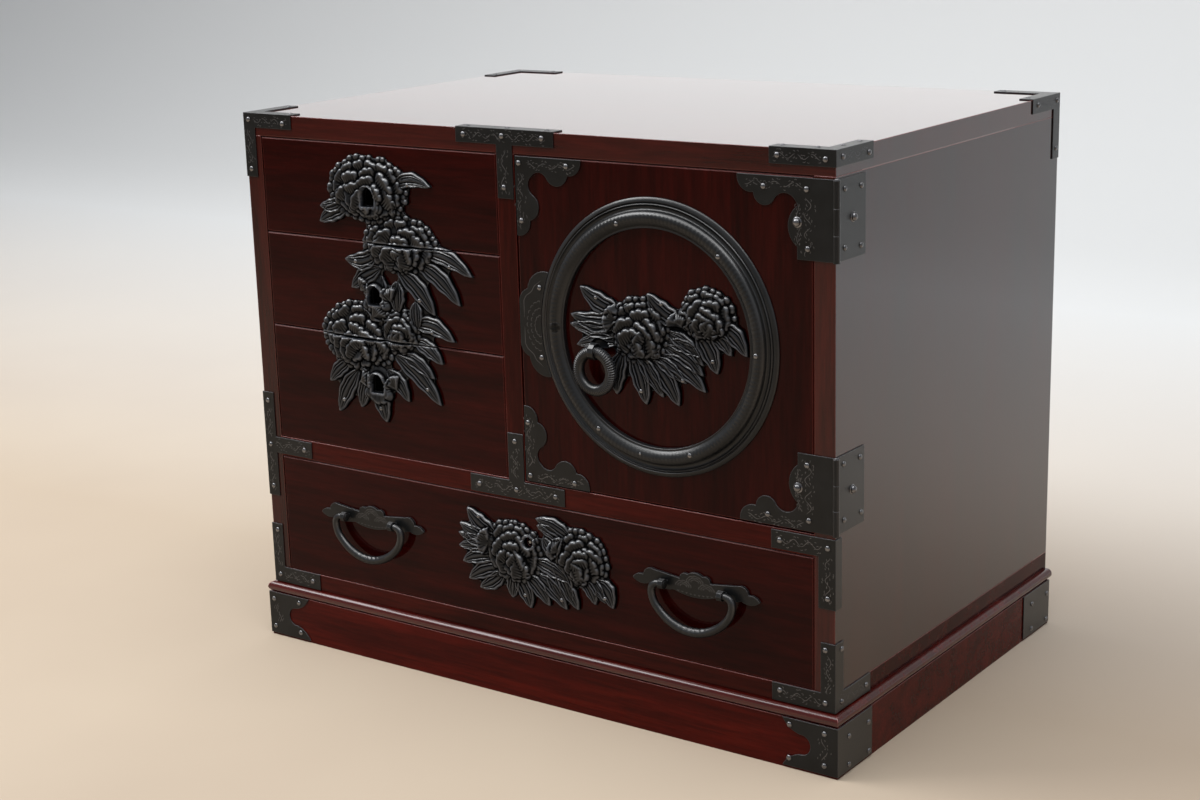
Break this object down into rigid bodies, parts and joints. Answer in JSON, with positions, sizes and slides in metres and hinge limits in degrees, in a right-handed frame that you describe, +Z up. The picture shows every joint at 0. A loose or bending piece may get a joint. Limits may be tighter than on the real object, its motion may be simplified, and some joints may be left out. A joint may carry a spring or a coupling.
{
  "type": "small tansu chest",
  "caption": "Tabletop tansu chest with small drawers, a hinged cupboard door and a wide drawer below, bound in black iron with flower plates and bail handles.",
  "frame": {"origin": "On the floor, under the middle of the whole chest with its ironwork.", "axes": "+X to the right along the front, +Y from the front to the back, +Z up."},
  "size_m": [0.611, 0.419, 0.493],
  "materials": {
    "case_wood": "deep red-brown lacquer with a high gloss over a straight grain",
    "front_wood": "darker red-brown lacquer with a high gloss",
    "plain_wood": "bare planed softwood",
    "black_iron": "blackened, satin, with worn bright edges",
    "polished_nails": "rubbed bright on the crown",
    "bare_steel": "plain"
  },
  "bodies": {
    "case": {"dust_boards": "plain_wood", "drawer_stops": "plain_wood", "base_moulding": "case_wood", "top_board": "case_wood", "bottom_board": "case_wood", "side_panel_left": "case_wood", "side_panel_right": "case_wood", "back_panel": "plain_wood", "middle_board": "case_wood", "partition": "case_wood", "plinth_front": "case_wood", "plinth_sides": "case_wood", "plinth_back": "plain_wood", "corner_iron_top_left": "black_iron", "corner_iron_top_right": "black_iron", "corner_irons_top_back": "black_iron", "tee_irons": "black_iron", "angle_iron_middle_right": "black_iron", "corner_irons_base": "black_iron", "plinth_irons_front": "black_iron", "plinth_irons_back": "black_iron", "hinge_side_leaves": "black_iron", "hinge_side_studs": "polished_nails", "hinge_pins": "bare_steel"},
    "door": {"door_panel": "front_wood", "door_ring": "black_iron", "door_lock_plate": "black_iron", "door_peony": "black_iron", "door_corner_irons": "black_iron", "door_lock_case": "black_iron", "hinge_door_leaves": "black_iron", "hinge_door_studs": "polished_nails", "pull_ring_eye": "black_iron"},
    "door_lock_bolt": {"door_lock_bolt": "bare_steel"},
    "pull_ring": {"pull_ring": "black_iron"},
    "upper_drawer": {"upper_drawer_front": "front_wood", "upper_drawer_walls": "plain_wood", "upper_drawer_bottom": "plain_wood", "upper_drawer_peony": "black_iron"},
    "middle_drawer": {"middle_drawer_front": "front_wood", "middle_drawer_walls": "plain_wood", "middle_drawer_bottom": "plain_wood", "middle_drawer_peony": "black_iron"},
    "lower_drawer": {"lower_drawer_front": "front_wood", "lower_drawer_walls": "plain_wood", "lower_drawer_bottom": "plain_wood", "lower_drawer_peony": "black_iron"},
    "wide_drawer": {"wide_drawer_front": "front_wood", "wide_drawer_walls": "plain_wood", "wide_drawer_bottom": "plain_wood", "wide_drawer_peony": "black_iron", "wide_drawer_lock_case": "black_iron", "handle_plates": "black_iron", "handle_posts": "black_iron"},
    "wide_drawer_lock_bolt": {"wide_drawer_lock_bolt": "bare_steel"},
    "bail_left": {"bail_left": "black_iron"},
    "bail_right": {"bail_right": "black_iron"}
  },
  "joints": [
    {"name": "door_hinge", "type": "hinge", "parent": "case", "child": "door", "pos_m": [0.30105, -0.19355, 0.33475], "axis": [0, 0, 1], "range_deg": [0, 240]},
    {"name": "door_lock_slide", "type": "slide", "parent": "door", "child": "door_lock_bolt", "axis": [-1, 0, 0], "range_m": [0, 0.008]},
    {"name": "pull_ring_swing", "type": "hinge", "parent": "door", "child": "pull_ring", "pos_m": [0.08565, -0.2025, 0.32059], "axis": [-1, 0, 0], "range_deg": [0, 90]},
    {"name": "upper_drawer_slide", "type": "slide", "parent": "case", "child": "upper_drawer", "axis": [0, -1, 0], "range_m": [0, 0.3]},
    {"name": "middle_drawer_slide", "type": "slide", "parent": "case", "child": "middle_drawer", "axis": [0, -1, 0], "range_m": [0, 0.3]},
    {"name": "lower_drawer_slide", "type": "slide", "parent": "case", "child": "lower_drawer", "axis": [0, -1, 0], "range_m": [0, 0.3]},
    {"name": "wide_drawer_slide", "type": "slide", "parent": "case", "child": "wide_drawer", "axis": [0, -1, 0], "range_m": [0, 0.3]},
    {"name": "wide_drawer_lock_slide", "type": "slide", "parent": "wide_drawer", "child": "wide_drawer_lock_bolt", "axis": [0, 0, 1], "range_m": [0, 0.008]},
    {"name": "bail_left_swing", "type": "hinge", "parent": "wide_drawer", "child": "bail_left", "pos_m": [-0.1725, -0.1996, 0.1338], "axis": [-1, 0, 0], "range_deg": [0, 90]},
    {"name": "bail_right_swing", "type": "hinge", "parent": "wide_drawer", "child": "bail_right", "pos_m": [0.1725, -0.1996, 0.1338], "axis": [-1, 0, 0], "range_deg": [0, 90]}
  ]
}
